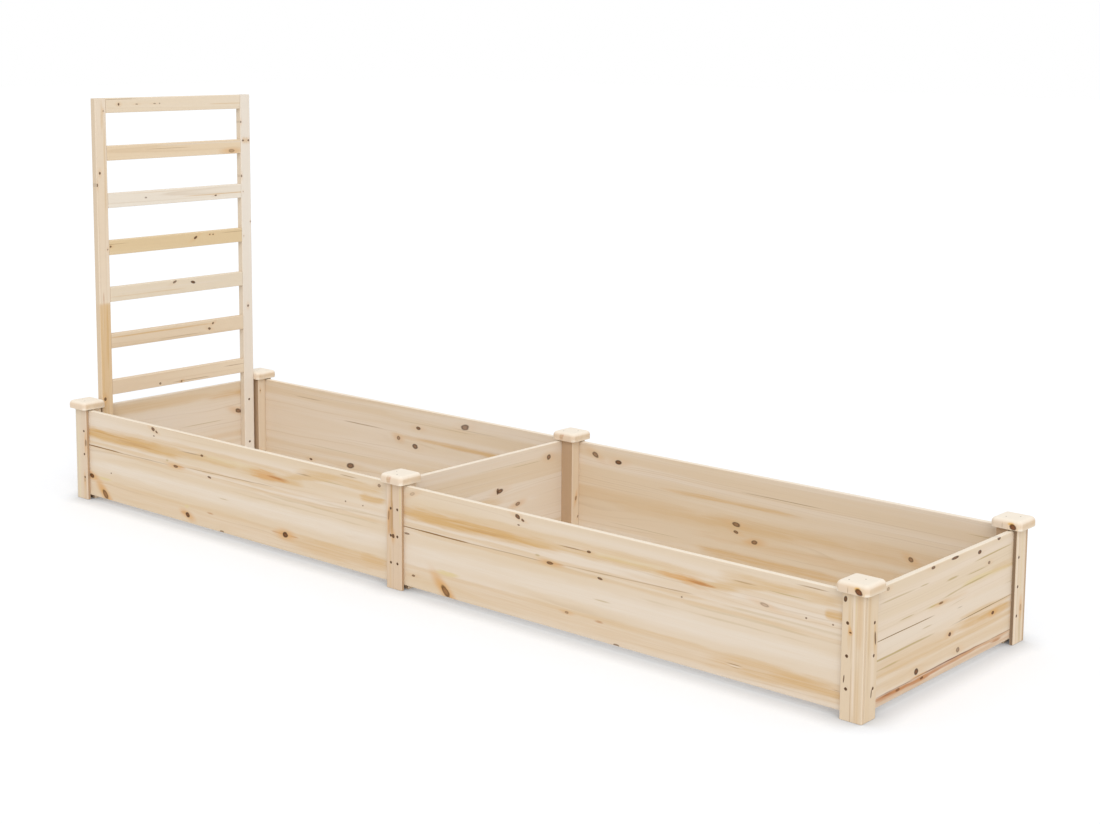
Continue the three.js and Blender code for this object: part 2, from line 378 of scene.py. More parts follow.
def softwood(name, board, tones, heart, slope, ring, waver, seed, knots=(), marks=(),
             arris=WALL_EASE, pins=()):
    """A material for one board: its own place in the log, its knots and its long marks.
    heart is how far the log's centre lies across from and behind the board's middle, in mm.
    A pin is a nail seen from above, so far from the left edge and back from the face, in mm."""
    material = bpy.data.materials.new(name)
    w = cleared(material)
    on_board = {"Vector": w.node("ShaderNodeTexCoord").outputs["Object"],
                "Location": board.middle, "Rotation": board.turn}
    flat = w.node("ShaderNodeMapping", on_board, vector_type="TEXTURE").outputs[0]
    quick = w.noise(w.stretched(flat, 14.0, 130.0, seed), 2.0, colour=True)
    slow = w.noise(w.stretched(flat, 3.5, 30.0, seed), 1.0, colour=True)
    wander = w.vector("SUBTRACT", w.vector("ADD", quick, slow), (1.0, 1.0, 1.0))
    wander = w.vector("MULTIPLY", wander, (1.8, 1.8, 1.8))
    place = flat
    masks = {"Core": 0.0, "Rim": 0.0, "Stain": 0.0}
    for row in knots:
        right, up, radius, stretch, turn, depth, stain = knot(*row)
        branch = w.use(knot_group, {
            "Place": place, "Wander": wander, "Middle": board.spot(right, up),
            "Radius": radius * MM, "Stretch": stretch, "Turn": math.radians(turn),
            "Stain Size": STAIN_SIZE, "Stain": stain, "Depth": depth,
            **{f"{mask} So Far": value for mask, value in masks.items()}})
        place = branch["Place"]
        masks = {mask: branch[mask] for mask in masks}
    rings = w.use(rings_group, {
        "Place": place, "Heart": (0, heart[0] * MM, -heart[1] * MM), "Slope": slope,
        "Ring Width": ring * MM, "Waver": waver * MM, "Seed": seed})
    wood = w.use(softwood_group, {
        "Band": rings["Band"], "Line": rings["Line"], "Fibre": rings["Fibre"],
        "Core": masks["Core"],
        **{part: tones[part] for part in ("Pale", "Warm", "Late", "Line Share")}})
    colour = wood["Colour"]
    for row in marks:
        right, up, half_length, half_width, tint, strength, feather, blunt, climb = mark(*row)
        colour = w.use(streak_group, {
            "Place": flat, "Wander": wander, "Colour": colour, "Mark": tint,
            "Strength": strength, "Middle": board.spot(right, up), "Fibre": rings["Fibre"],
            "Half Length": half_length * MM, "Half Width": half_width * MM, "Slope": climb,
            "Feather": feather, "Bluntness": blunt})["Colour"]
    colour = w.use(knot_colour_group, {
        "Colour": colour, **masks,
        **{part: tones[part] for part in ("Knot", "Knot Rim", "Knot Stain")}})["Colour"]
    colour = w.use(edges_group, {
        "Place": flat, "Half Size": board.half, "Arris": arris * MM, "Colour": colour,
        "Side Reach": tones.get("Side Reach", SIDE_REACH), "Side Tone": tones["Side Tone"],
        "End Tone": tones["Late"]})["Colour"]
    parts = w.split(flat)
    from_above = w.xyz(parts["X"], parts["Z"])
    for right, back in pins:
        middle = (right * MM - board.half.x, board.half.z - back * MM, 0)
        colour = w.use(streak_group, {
            "Place": from_above, "Wander": wander, "Colour": colour, "Fibre": 0.5,
            "Mark": PIN_TONE, "Strength": 0.9, "Middle": middle, **PIN_SIZE, "Feather": 0.2,
            "Bluntness": 1.0})["Colour"]
    relief = {"Height": wood["Height"], "Strength": 0.35, "Distance": 0.25 * MM}
    shader = w.node("ShaderNodeBsdfPrincipled", {
        "Base Color": colour, "Roughness": wood["Roughness"], "Specular IOR Level": 0.2,
        "Normal": w.node("ShaderNodeBump", relief).outputs["Normal"]})
    w.node("ShaderNodeOutputMaterial", {"Surface": shader.outputs[0]})
    return material


def start_block(name, middle, size):
    """A rough block at its size and place, alone selected and open in edit mode."""
    bpy.ops.object.select_all(action="DESELECT")
    bpy.ops.mesh.primitive_cube_add(size=1, location=middle, scale=size)
    piece = bpy.context.object
    piece.name = name
    bpy.ops.object.transform_apply(location=True, rotation=True, scale=True)
    bpy.ops.object.mode_set(mode="EDIT")
    bpy.ops.mesh.select_all(action="SELECT")
    return piece


def round_edges(size, segments, profile=0.5):
    """Rounds the selected edges, by a size in mm."""
    bpy.ops.mesh.bevel(offset=size * MM, segments=segments, profile=profile, affect="EDGES")


def finish_piece(piece, material, slot, *nodes):
    """Smooths the rounded edges, gives the piece its wood and puts it in its nodes' place."""
    bpy.ops.object.shade_smooth_by_angle(angle=math.radians(40))
    even = piece.modifiers.new("even shading", "WEIGHTED_NORMAL")
    even.keep_sharp = True
    bpy.ops.object.modifier_apply(modifier=even.name)
    piece.data.materials.append(material)
    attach(piece, BODY)
    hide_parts(*nodes)


def squared_board(node, board, ease, material, slot, holes=()):
    """A planed board that fills its CAD node's box, with eased edges and any drilled holes."""
    piece = start_block(f"{node}_wood", board.middle, board.size)
    round_edges(ease, 4, 0.6)
    bpy.ops.object.mode_set(mode="OBJECT")
    if holes:
        drill(piece, holes)
    finish_piece(piece, material, slot, node)


TAN = tone(214, 184, 142)
AMBER = tone(210, 172, 118)
ORANGE = tone(212, 160, 100)
RUST = tone(178, 118, 66)
OLIVE = tone(188, 166, 120)
BROWN_LINE = tone(148, 112, 66)
KNOT_BROWN = tone(110, 68, 36)
PINKISH = tone(230, 217, 201)
STRAW = tone(220, 200, 152)


def front_wall_marks(shift):
    """What both front boards show, cut one after the other from like logs. The right one's
    marks lie a little further along."""
    knots = [
        (102 + shift, 12, 7.0, 1.8, 42, 0.72, 1.0), (306 + shift, 212, 3.8, 1.6, 20),
        (320 + shift, 209, 1.8, 2.2, 20), (309 + shift, 196, 1.6, 1.8, 0, 0.8, 0.1),
        (393 + shift, 132.5, 3.0, 2.6, 0, 0.8, 0.7), (495 + shift, 175.5, 2.3, 2.0, 0, 0.9),
        (523 + shift, 127, 2.1, 2.8, 8, 0.9, 0.1), (1000 + shift, 153, 1.6, 1.2, 0, 0.8, 0),
        (1056 + shift, 153, 1.5, 1.2, 0, 0.7, 0), (566 + shift, 1.5, 2.6, 2.6, 0, 0.7, 0.1),
    ]
    marks = [
        (580, 84, 640, 27, PINKISH, 0.75, 0.3, 4), (580, 28, 640, 28, TAN, 0.42, 0.3, 4),
        (580, 44, 640, 7, TAN, 0.45, 0.5, 4), (1000, 28, 200, 24, AMBER, 0.42, 0.4, 3),
        (470, 185, 430, 10, TAN, 0.55, 0.5, 3), (900, 150, 300, 9, TAN, 0.25, 0.5, 3),
        (1000, 174, 150, 9, TAN, 0.3, 0.5, 3), (600, 126, 640, 7, TAN, 0.5, 0.6, 4),
        (430, 139, 480, 7, TAN, 0.5, 0.6, 3), (200 + shift, 165, 250, 20, AMBER, 0.95, 0.35, 3),
        (230 + shift, 162, 120, 5, tone(190, 142, 84), 0.5, 0.7),
        (120 + shift, 170, 110, 3, tone(196, 152, 92), 0.5, 0.7),
        (480 + shift, 169, 200, 12, TAN, 0.85, 0.5, 3),
        (460 + shift, 174.5, 66, 1.9, KNOT_BROWN, 0.6, 0.5, 1, 0.01),
        (600 + shift, 175, 150, 9, STRAW, 0.35, 0.5, 2),
        (745 + shift, 168, 125, 15, TAN, 0.85, 0.5, 3),
        (735 + shift, 168, 80, 14, ORANGE, 0.75, 0.9, 1.5, -0.03),
        (766 + shift, 167, 44, 5, RUST, 0.6, 0.9, 1, -0.04),
        (885 + shift, 187, 115, 11, TAN, 0.8, 0.6, 2, 0.13), (985, 196, 160, 15, TAN, 0.75, 0.5, 3),
        (865 + shift, 190, 34, 2.2, BROWN_LINE, 0.5), (955 + shift, 187, 60, 1.8, OLIVE, 0.7),
        (1010 + shift, 211, 36, 1.8, BROWN_LINE, 0.7),
        (95 + shift, 130.5, 85, 2.3, BROWN_LINE, 1.0, 0.4, 2),
        (60 + shift, 130.8, 40, 1.3, KNOT_BROWN, 0.6, 0.4),
        (255 + shift, 131, 130, 1.7, BROWN_LINE, 0.45, 0.6, 2, 0.01),
        (405 + shift, 134, 32, 3, RUST, 0.5), (360 + shift, 142, 8, 4, OLIVE, 0.7),
        (585 + shift, 139.5, 180, 1.7, BROWN_LINE, 0.5, 0.5, 2, 0.025),
        (940, 121, 220, 3.0, OLIVE, 0.32, 0.9, 2), (860, 108, 260, 2.8, OLIVE, 0.26, 0.9, 2),
        (1000, 137, 150, 3.5, OLIVE, 0.26, 0.9, 2), (575, 83, 26, 2.0, OLIVE, 0.6),
        (105 + shift, 51, 38, 6, STRAW, 0.9, 0.7), (92 + shift, 20, 10, 7, ORANGE, 0.8),
        (523 + shift, 38.5, 17, 3.2, RUST, 0.6),
    ]
    return knots, marks


board = Board("front_left_wall_board", (1, 0, 0), (0, -1, 0))
knots, marks = front_wall_marks(0)
knots += [
    (45, 51, 5.2, 1.5, 10, 1.0, 0.9), (128, 71, 1.6, 1.2, 0, 0.9, 0),
    (436, 19, 5.0, 1.4, 15, 1.0, 0.8), (795, 38.5, 6.2, 1.3, 0, 1.0, 0.9),
    (1108, 207, 3.2, 1.4, 0, 0.6, 0.2),
]
marks += [
    (422, 22, 15, 4, RUST, 0.4), (434, 40, 10, 7, STRAW, 0.9), (768, 39, 24, 3.2, RUST, 0.55),
    (825, 39, 24, 2.8, RUST, 0.45), (1085, 172, 42, 15, AMBER, 0.75, 0.7, 2.5),
    (1090, 36, 50, 12, AMBER, 0.5, 0.5, 2),
]
wood = softwood("front_left_wall_softwood", board, WALL_TONES, heart=(-26, 70), slope=0.003,
                ring=6.5, waver=26, seed=2.0, knots=knots, marks=marks)
squared_board("front_left_wall_board", board, WALL_EASE, wood, "wall")

board = Board("front_right_wall_board", (1, 0, 0), (0, -1, 0))
knots, marks = front_wall_marks(45)
knots += [
    (51, 26, 2.2, 2.0, 0, 0.8, 0.2), (484, 40, 2.2, 2.0, 0, 0.5, 0.5),
    (31, 116, 2.0, 3.6, 0, 0.7, 0.1), (48, 206, 3.4, 2.0, -20, 0.25, 0.3),
    (956, 158, 3.0, 3.0, 8, 0.35, 0.3), (768, 133, 1.6, 1.2, 0, 0.6, 0.1),
]
marks += [
    (893, 30, 26, 1.5, KNOT_BROWN, 0.55), (893, 27, 28, 1.6, PINKISH, 0.9),
    (893, 24, 24, 1.3, BROWN_LINE, 0.55), (1112, 35, 16, 1.5, BROWN_LINE, 0.8),
    (1107, 171, 26, 14, AMBER, 0.8, 0.4, 3), (1060, 30, 110, 14, AMBER, 0.45, 0.5, 2),
    (75, 165, 110, 20, AMBER, 0.7, 0.35, 3), (60, 131, 60, 2.0, BROWN_LINE, 0.8, 0.4, 2),
]
wood = softwood("front_right_wall_softwood", board, WALL_TONES, heart=(-20, 66), slope=0.004,
                ring=6.8, waver=26, seed=2.6, knots=knots, marks=marks)
squared_board("front_right_wall_board", board, WALL_EASE, wood, "wall")


# ---------- Rear long walls and end walls ----------
# The same board stock at the back and ends. The end boards stand between the long ones. The right
# one is glued up from narrow staves, and two fine glue lines and a reddish heart streak show.

REDDISH = tone(190, 134, 90)
DARK_RED = tone(116, 66, 40)
GLUE_LINE = tone(132, 106, 60)

knots = [
    (230, 216, 2.6, 2.4, 0, 0.85, 0.2), (312, 217, 2.6, 4.5, 0, 0.95, 0.1),
    (485, 218, 3.2, 1.8, 0, 0.95, 0.1), (408, 207, 3.6, 1.7, 0, 1.0, 0.1),
    (448, 178, 3.0, 1.4, 0, 0.7, 0.2), (70, 212, 3.0, 1.4, 0, 0.45, 0.2),
    (265, 141, 2.0, 3.4, 0, 0.6, 0.5), (302, 71, 3.4, 1.3, 0, 1.0, 0.5),
    (471, 72, 3.2, 1.5, 0, 1.0, 0.9), (180, 30.5, 5.2, 1.2, 0, 1.0, 0.1),
    (335, 32, 4.8, 1.2, 0, 0.6, 0.2), (200, 15, 2.4, 2.2, 0, 0.9, 0.2),
    (115, 14, 2.4, 2.6, 0, 0.6, 0.1),
]
marks = [
    (300, 108, 330, 22, PINKISH, 0.5, 0.3, 4), (300, 36, 330, 15, TAN, 0.4, 0.5, 4),
    (200, 76, 240, 12, TAN, 0.5, 0.5, 3), (290, 138, 90, 7, TAN, 0.4, 0.5, 2),
    (290, 56, 330, 9, TAN, 0.75, 0.5, 4), (170, 66, 160, 8, TAN, 0.6, 0.5, 3),
    (440, 73, 130, 15, AMBER, 0.6, 0.5, 2), (475, 74, 80, 10, AMBER, 0.6, 0.5, 2),
    (450, 90, 120, 7, TAN, 0.7, 0.5, 3), (120, 87, 130, 3.0, OLIVE, 0.9, 0.5, 2),
    (75, 68, 60, 2.6, OLIVE, 0.7), (135, 122.5, 122, 1.3, GLUE_LINE, 1.0, 0.25, 3),
    (438, 89.5, 140, 1.3, GLUE_LINE, 0.9, 0.25, 2, 0.022), (232, 142, 58, 4.2, STRAW, 0.9, 0.7),
    (230, 142, 50, 2.0, OLIVE, 0.8), (262, 141, 20, 2.0, BROWN_LINE, 0.9),
    (310, 150, 62, 2.6, OLIVE, 0.9, 0.5, 1, 0.06), (450, 156, 115, 7, STRAW, 0.65, 0.6, 2),
    (400, 154, 75, 2.4, OLIVE, 0.8, 0.5, 1, 0.02), (510, 160, 75, 11, TAN, 0.5, 0.6),
    (305, 179, 26, 3.0, OLIVE, 0.9), (200, 190, 20, 2.4, OLIVE, 0.8),
    (465, 194, 88, 2.0, OLIVE, 0.95, 0.5, 2, 0.02), (110, 190, 80, 2.6, OLIVE, 0.6),
    (140, 143, 42, 1.8, OLIVE, 0.7), (215, 107, 24, 2.0, OLIVE, 0.6),
    (338, 115, 16, 1.6, GLUE_LINE, 0.45), (400, 172, 42, 2.0, OLIVE, 0.7),
    (560, 120, 60, 1.6, OLIVE, 0.5), (330, 128, 60, 1.4, OLIVE, 0.4, 0.5, 1, 0.05),
    (300, 6, 330, 8, tone(206, 172, 138), 0.6, 0.5, 4), (120, 14, 110, 7.0, REDDISH, 0.95, 0.6, 3),
    (290, 15.5, 130, 5.0, REDDISH, 0.9, 0.6, 2),
    (440, 16, 130, 5.0, tone(200, 156, 116), 0.9, 0.6, 2),
    (100, 19, 90, 1.8, DARK_RED, 0.6, 1.0, 2), (270, 20, 110, 1.9, DARK_RED, 0.95, 0.6, 2),
    (420, 19, 70, 1.5, DARK_RED, 0.6, 0.9, 2), (500, 19.5, 70, 1.3, DARK_RED, 0.55, 0.6, 2),
    (490, 11, 26, 3.4, RUST, 0.7, 1.0), (190, 21, 40, 3.5, ORANGE, 0.5),
    (75, 15, 30, 3.0, DARK_RED, 0.35, 0.9),
]
board = Board("right_end_wall_board", (0, 1, 0), (1, 0, 0))
right_end_tones = {**WALL_TONES, "Pale": tone(228, 211, 191), "Warm": tone(223, 204, 178),
                   "Line Share": 0.16}
wood = softwood("right_end_wall_softwood", board, right_end_tones, heart=(-40, 90), slope=0.012,
                ring=4.0, waver=16, seed=7.3, knots=knots, marks=marks)
squared_board("right_end_wall_board", board, WALL_EASE, wood, "wall")


def loose_knots(board, count, seed):
    """A few knots at likely places, for a board whose own aren't known."""
    draw = random.Random(seed)
    width, height = board.extent(board.grain) / MM, board.extent(board.across) / MM
    if board.grain.z:
        width, height = height, width
    largest = 0.1 * min(width, height, 60)
    return [(draw.uniform(0.06, 0.94) * width, draw.uniform(0.1, 0.9) * height,
             draw.uniform(0.25, 1.0) * largest, draw.uniform(1.0, 2.2),
             draw.uniform(-30, 30), draw.uniform(0.6, 1.0), draw.uniform(0, 0.6))
            for _ in range(count)]


def loose_marks(board, count, seed):
    """Soft bands and thin growth lines at likely places, for the same boards."""
    draw = random.Random(seed + 0.5)
    length, width = board.extent(board.grain) / MM, board.extent(board.across) / MM
    bands_share = 0.55
    found = []
    for _ in range(count):
        along, up = draw.uniform(0, 1) * length, draw.uniform(0.05, 0.95) * width
        places = (up, along) if board.grain.z else (along, up)
        if draw.random() < bands_share:
            found.append((*places, draw.uniform(0.15, 0.5) * length,
                          draw.uniform(0.03, 0.09) * width, draw.choice((TAN, AMBER, PINKISH)),
                          draw.uniform(0.3, 0.7), 0.4, 3))
        else:
            found.append((*places, draw.uniform(0.05, 0.2) * length, draw.uniform(0.8, 1.8),
                          draw.choice((BROWN_LINE, OLIVE)), draw.uniform(0.4, 0.8), 0.5, 2))
    return found


for node, grain, face, heart, seed in (
        ("rear_left_wall_board", (-1, 0, 0), (0, 1, 0), (12, 52), 11.0),
        ("rear_right_wall_board", (-1, 0, 0), (0, 1, 0), (-30, 60), 14.5),
        ("left_end_wall_board", (0, -1, 0), (-1, 0, 0), (25, 48), 19.2)):
    board = Board(node, grain, face)
    count = 9 if "rear" in node else 5
    wood = softwood(node.replace("board", "softwood"), board, WALL_TONES, heart, slope=0.007,
                    ring=4.2, waver=24, seed=seed, knots=loose_knots(board, count, seed),
                    marks=loose_marks(board, 14, seed))
    squared_board(node, board, WALL_EASE, wood, "wall")


# ---------- Divider ----------
# A board of the same stock between the two middle posts, which keeps the long sides from bowing.
# It lies against the left side of their blocks.

board = Board("middle_divider_board", (0, 1, 0), (1, 0, 0))
wood = softwood("middle_divider_softwood", board, WALL_TONES, heart=(-20, 40), slope=0.01,
                ring=4.0, waver=24, seed=23.4, knots=loose_knots(board, 5, 23),
                marks=loose_marks(board, 10, 23))
squared_board("middle_divider_board", board, WALL_EASE, wood, "wall")


# ---------- Posts ----------
# Each post is a stack of upright strips: planed covers outside the walls, and a square block
# inside them. Screws go through the covers into the block, in holes countersunk for their heads.

COVER_EASE = 1.6
BLOCK_EASE = 1.2
UPRIGHT = (0, 0, 1)
SCREW_HEIGHTS = (58, 118, 178)
HOLE_FROM_FREE_EDGE = 11.5
MIDDLE_HOLES_APART = 20
SINK_RADIUS = 3.5
HOLE_RADIUS = 1.8
SINK_DEPTH = 2.0
BIT_LENGTH = 30
BIT_BEFORE_FACE = 1
NEAR = 0.01 * MM
# Painted shade on narrow sides: a mid brown on the side covers' and blocks' edges, and a dark brown
# on the end covers' edges.
FREE_SIDE_PAINTED_SHADE = tone(180, 148, 116)
SHADED_SIDE = tone(106, 79, 54)
POST_TONES = {"Pale": tone(227, 209, 186), "Warm": tone(221, 199, 169), "Late": tone(184, 152, 112),
              "Knot": tone(106, 66, 32), "Knot Rim": tone(58, 38, 22), "Line Share": 0.25,
              "Knot Stain": tone(214, 162, 98), "Side Tone": FREE_SIDE_PAINTED_SHADE}
END_TONES = {**POST_TONES, "Side Tone": SHADED_SIDE}


def cut_away(piece, tool):
    """Cuts a tool's shape out of a piece, and leaves the piece selected."""
    cut = piece.modifiers.new("cut", "BOOLEAN")
    cut.operation = "DIFFERENCE"
    cut.solver = "EXACT"
    cut.object = tool
    bpy.context.view_layer.objects.active = piece
    piece.select_set(True)
    bpy.ops.object.modifier_apply(modifier=cut.name)
    bpy.data.objects.remove(tool)


def drill(piece, holes):
    """Cuts countersunk holes. Each has the point where its axis enters, and the way it goes."""
    for entry, way in holes:
        bpy.ops.object.select_all(action="DESELECT")
        bpy.ops.mesh.primitive_cylinder_add(
            vertices=32, radius=HOLE_RADIUS * MM, depth=BIT_LENGTH * MM,
            location=(0, 0, (BIT_LENGTH / 2 - BIT_BEFORE_FACE) * MM))
        bit = bpy.context.object
        bpy.ops.object.transform_apply(location=True)
        bpy.ops.object.mode_set(mode="EDIT")
        for height in (0, SINK_DEPTH * MM):
            bpy.ops.mesh.select_all(action="SELECT")
            bpy.ops.mesh.bisect(plane_co=(0, 0, height), plane_no=(0, 0, 1))
        mesh = bmesh.from_edit_mesh(bit.data)
        for corner in mesh.verts:
            if corner.co.z < NEAR:
                corner.co.xy *= SINK_RADIUS / HOLE_RADIUS
        bmesh.update_edit_mesh(bit.data)
        bpy.ops.object.mode_set(mode="OBJECT")
        bit.data.transform(Vector(UPRIGHT).rotation_difference(way).to_matrix().to_4x4())
        bit.data.transform(Matrix.Translation(entry))
        cut_away(piece, bit)


def outer_holes(board, from_edge, heights=SCREW_HEIGHTS):
    """Holes that enter a board's face, so far from its left edge, seen from outside, in mm."""
    way = -board.face
    holes = []
    for height in heights:
        along, across, _ = board.spot(from_edge, height)
        entry = board.middle + board.grain * along + board.across * across
        holes.append((entry + board.face * board.half.z, way))
    return holes


screw_places = []
cover_knots = {
    "front_right_post_side_cover": [
        (6, 220.5, 2.8, 1.7, 10, 1.0, 0.1), (18, 162, 2.2, 0.6, 0, 1.0, 0.8),
        (7, 75, 1.1, 6.0, 5, 0.9, 0.0),
    ],
    "front_right_post_end_cover": [
        (29, 150, 2.2, 5.0, -6, 0.8, 0.2), (21, 50, 1.6, 4.5, 8, 0.9, 0.0),
    ],
    "front_middle_post_side_cover": [
        (21, 117.5, 3.6, 1.1, 0, 1.0, 0.5), (7, 160, 2.0, 5.0, 4, 0.45, 0.5),
    ],
    "front_left_post_side_cover": [
        (42, 149, 3.2, 2.4, 0, 0.6, 0.6), (34, 52, 1.8, 2.8, 0, 0.4, 0.5),
    ],
    "rear_right_post_end_cover": [(27, 72, 3.4, 1.8, 0, 0.3, 0.6)],
}
PINK_STRIP = tone(235, 217, 198)
HEART_LINE = tone(164, 120, 78)
cover_marks = {
    "front_right_post_side_cover": [
        (38, 120, 150, 9, TAN, 0.35, 0.2, 4), (36, 190, 60, 9, tone(214, 180, 138), 0.5, 0.3, 3),
        (34, 30, 90, 7, TAN, 0.4, 0.3, 2), (15, 165, 40, 5, AMBER, 0.35, 0.5),
        (16, 167, 9, 4, ORANGE, 0.6), (15, 205, 45, 5, TAN, 0.5, 0.4),
        (25, 150, 150, 3.2, PINK_STRIP, 0.6, 0.15, 4, 0.01),
        (21.2, 40, 70, 1.5, HEART_LINE, 0.35, 0.3, 3),
        (20.5, 160, 60, 1.6, HEART_LINE, 0.25, 0.4, 3, -0.01),
        (28.5, 190, 50, 1.0, STRAW, 0.7, 0.3, 2), (31, 90, 110, 1.4, BROWN_LINE, 0.14, 0.3, 4),
    ],
    "front_right_post_end_cover": [
        (8, 185, 70, 6, TAN, 0.45, 0.4, 3), (8, 150, 110, 1.2, HEART_LINE, 0.2, 0.3, 4),
        (28, 150, 40, 6, TAN, 0.6, 0.4, 2), (22, 95, 40, 9, PINK_STRIP, 0.35, 0.3, 3),
    ],
    "front_middle_post_side_cover": [
        (12, 40, 60, 5, TAN, 0.35, 0.4, 3), (10, 150, 32, 7, tone(196, 154, 110), 0.75, 0.5, 2.5),
        (16, 190, 80, 4.5, tone(184, 144, 94), 0.9, 0.3, 3),
        (19.5, 150, 50, 1.6, HEART_LINE, 0.9, 0.2, 3), (20.5, 60, 90, 0.9, HEART_LINE, 0.5, 0.2, 3),
        (4, 205, 40, 4, PINK_STRIP, 0.5, 0.4, 2), (42, 185, 55, 3.5, STRAW, 0.7, 0.3, 2),
    ],
    "front_left_post_side_cover": [
        (2, 120, 150, 2, tone(224, 216, 198), 0.9, 0.2, 4),
        (5.5, 120, 150, 1.6, tone(206, 196, 172), 0.6, 0.3, 4),
        (12, 90, 110, 5, tone(222, 210, 178), 0.7, 0.3, 3), (34, 30, 50, 9, TAN, 0.5, 0.4, 3),
    ],
    "rear_right_post_end_cover": [
        (5.5, 120, 160, 3.6, PINK_STRIP, 0.95, 0.2, 4), (26, 30, 50, 7, OLIVE, 0.5),
        (24, 170, 80, 5, STRAW, 0.35, 0.3, 3),
    ],
}
# The near post's front cover has a lighter painted shade on its narrow sides.
cover_tones = {
    "front_right_post_side_cover": {"Side Tone": tone(215, 191, 161)},
    "front_middle_post_side_cover": {"Pale": tone(218, 195, 169), "Warm": tone(211, 185, 155)},
    "front_left_post_side_cover": {"Pale": tone(223, 206, 182), "Warm": tone(220, 199, 175)},
}


def make_cover(post, way, face, tones, heart, slope, seed, free_side=0):
    """A drilled cover of a post. Its screws stand along its free edge, on the right where
    free_side is 1 and on the left where it is -1, or in two rows where it is 0."""
    node = f"{post}_{way}_cover"
    board = Board(node, UPRIGHT, face)
    half = board.extent(board.across) / MM / 2
    rows = [half + free_side * (half - HOLE_FROM_FREE_EDGE)]
    if not free_side:
        rows = [half - MIDDLE_HOLES_APART / 2, half + MIDDLE_HOLES_APART / 2]
    holes = [hole for from_left in rows for hole in outer_holes(board, from_left)]
    screw_places.extend(holes)
    tones = {**tones, **cover_tones.get(node, {})}
    wood = softwood(f"{post}_{way}_softwood", board, tones, heart, slope, ring=3.4, waver=4,
                    seed=seed, knots=cover_knots.get(node, ()), marks=cover_marks.get(node, ()),
                    arris=COVER_EASE)
    squared_board(node, board, COVER_EASE, wood, "post", holes)


def make_block(post, face, seed, knot_seed):
    """The square block inside a post, seen from inside the bed."""
    node = f"{post}_block"
    board = Board(node, UPRIGHT, face)
    wood = softwood(f"{node}_softwood", board, POST_TONES, heart=(4, 9), slope=0.002, ring=2.8,
                    waver=5, seed=seed, knots=loose_knots(board, 2, knot_seed), arris=BLOCK_EASE)
    squared_board(node, board, BLOCK_EASE, wood, "post")


for row, out_y in (("front", -1), ("rear", 1)):
    for side, out_x in (("left", -1), ("right", 1)):
        post = f"{row}_{side}_post"
        seed = 30 + 3.7 * (out_x + 1) + 8.3 * (out_y + 1)
        make_cover(post, "side", (0, out_y, 0), POST_TONES, (9, 30), 0.004, seed, out_x * out_y)
        make_cover(post, "end", (out_x, 0, 0), END_TONES, (-7, 26), 0.003, seed + 1.9,
                   -out_x * out_y)
        make_block(post, (-out_x, 0, 0), seed + 2.7, seed)
    post = f"{row}_middle_post"
    make_cover(post, "side", (0, out_y, 0), POST_TONES, (-4, 22), 0.004, 47 + out_y)
    make_block(post, (1, 0, 0), 53 + out_y, 53 + out_y)


# ---------- Caps ----------
# A square cap sits on each post and hides its layers. It is cut from pale softwood, its upright
# corners are rounded and a bullnose is run round its top. It is glued and pinned from above.

CAP_CORNER = 10.5
CAP_NOSE = 10.0
CAP_UNDER_EASE = 1.5
# The caps' side tone, reaching 8.5 mm down from the top, is a pale painted highlight over the top
# and its bullnose.
CAP_TONES = {"Pale": tone(231, 213, 192), "Warm": tone(227, 204, 178), "Late": tone(208, 182, 146),
             "Knot": tone(118, 66, 30), "Knot Rim": tone(84, 48, 24), "Line Share": 0.3,
             "Knot Stain": tone(230, 186, 118), "Side Tone": tone(247, 238, 223),
             "Side Reach": 8.5 * MM}
corner_knots = [(50, 6.5, 4.8, 1.45, 28, 1.0, 0.25)]
corner_marks = [
    (46, 12, 9, 5.5, tone(222, 174, 92), 1.0, 0.3), (27, 6, 1.2, 9, BROWN_LINE, 0.5, 0.1),
]
stain_marks = [
    (30, 10, 7, 12, tone(196, 156, 116), 0.7, 0.4, 2),
    (35, 14, 4, 5, tone(208, 146, 116), 0.6, 0.4),
]
cap_pins = {"front_left": ((20, 30), (44, 20)), "front_middle": ((21, 34), (42, 15)),
            "front_right": ((19, 17), (40, 38)), "rear_left": ((25, 40), (40, 21)),
            "rear_middle": ((22, 18), (47, 42)), "rear_right": ((24, 22), (46, 40))}


def pick_edges(piece, wanted):
    """Selects, in edit mode, the edges whose two ends both pass the test."""
    bpy.ops.mesh.select_mode(type="EDGE")
    bpy.ops.mesh.select_all(action="DESELECT")
    mesh = bmesh.from_edit_mesh(piece.data)
    for edge in mesh.edges:
        if wanted(*[end.co for end in edge.verts]):
            edge.select_set(True)
    bmesh.update_edit_mesh(piece.data)


def moulded_cap(node, board, material):
    """A cap: the upright corners are rounded first, then the bullnose and the ease below."""
    piece = start_block(f"{node}_wood", board.middle, board.size)
    bottom = board.middle.z - board.size.z / 2
    top = board.middle.z + board.size.z / 2
    pick_edges(piece, lambda a, b: abs(a.z - b.z) > NEAR)
    round_edges(CAP_CORNER, 8)
    pick_edges(piece, lambda a, b: min(a.z, b.z) > top - NEAR)
    round_edges(CAP_NOSE, 8)
    pick_edges(piece, lambda a, b: max(a.z, b.z) < bottom + NEAR)
    round_edges(CAP_UNDER_EASE, 2)
    bpy.ops.object.mode_set(mode="OBJECT")
    finish_piece(piece, material, "cap", node)


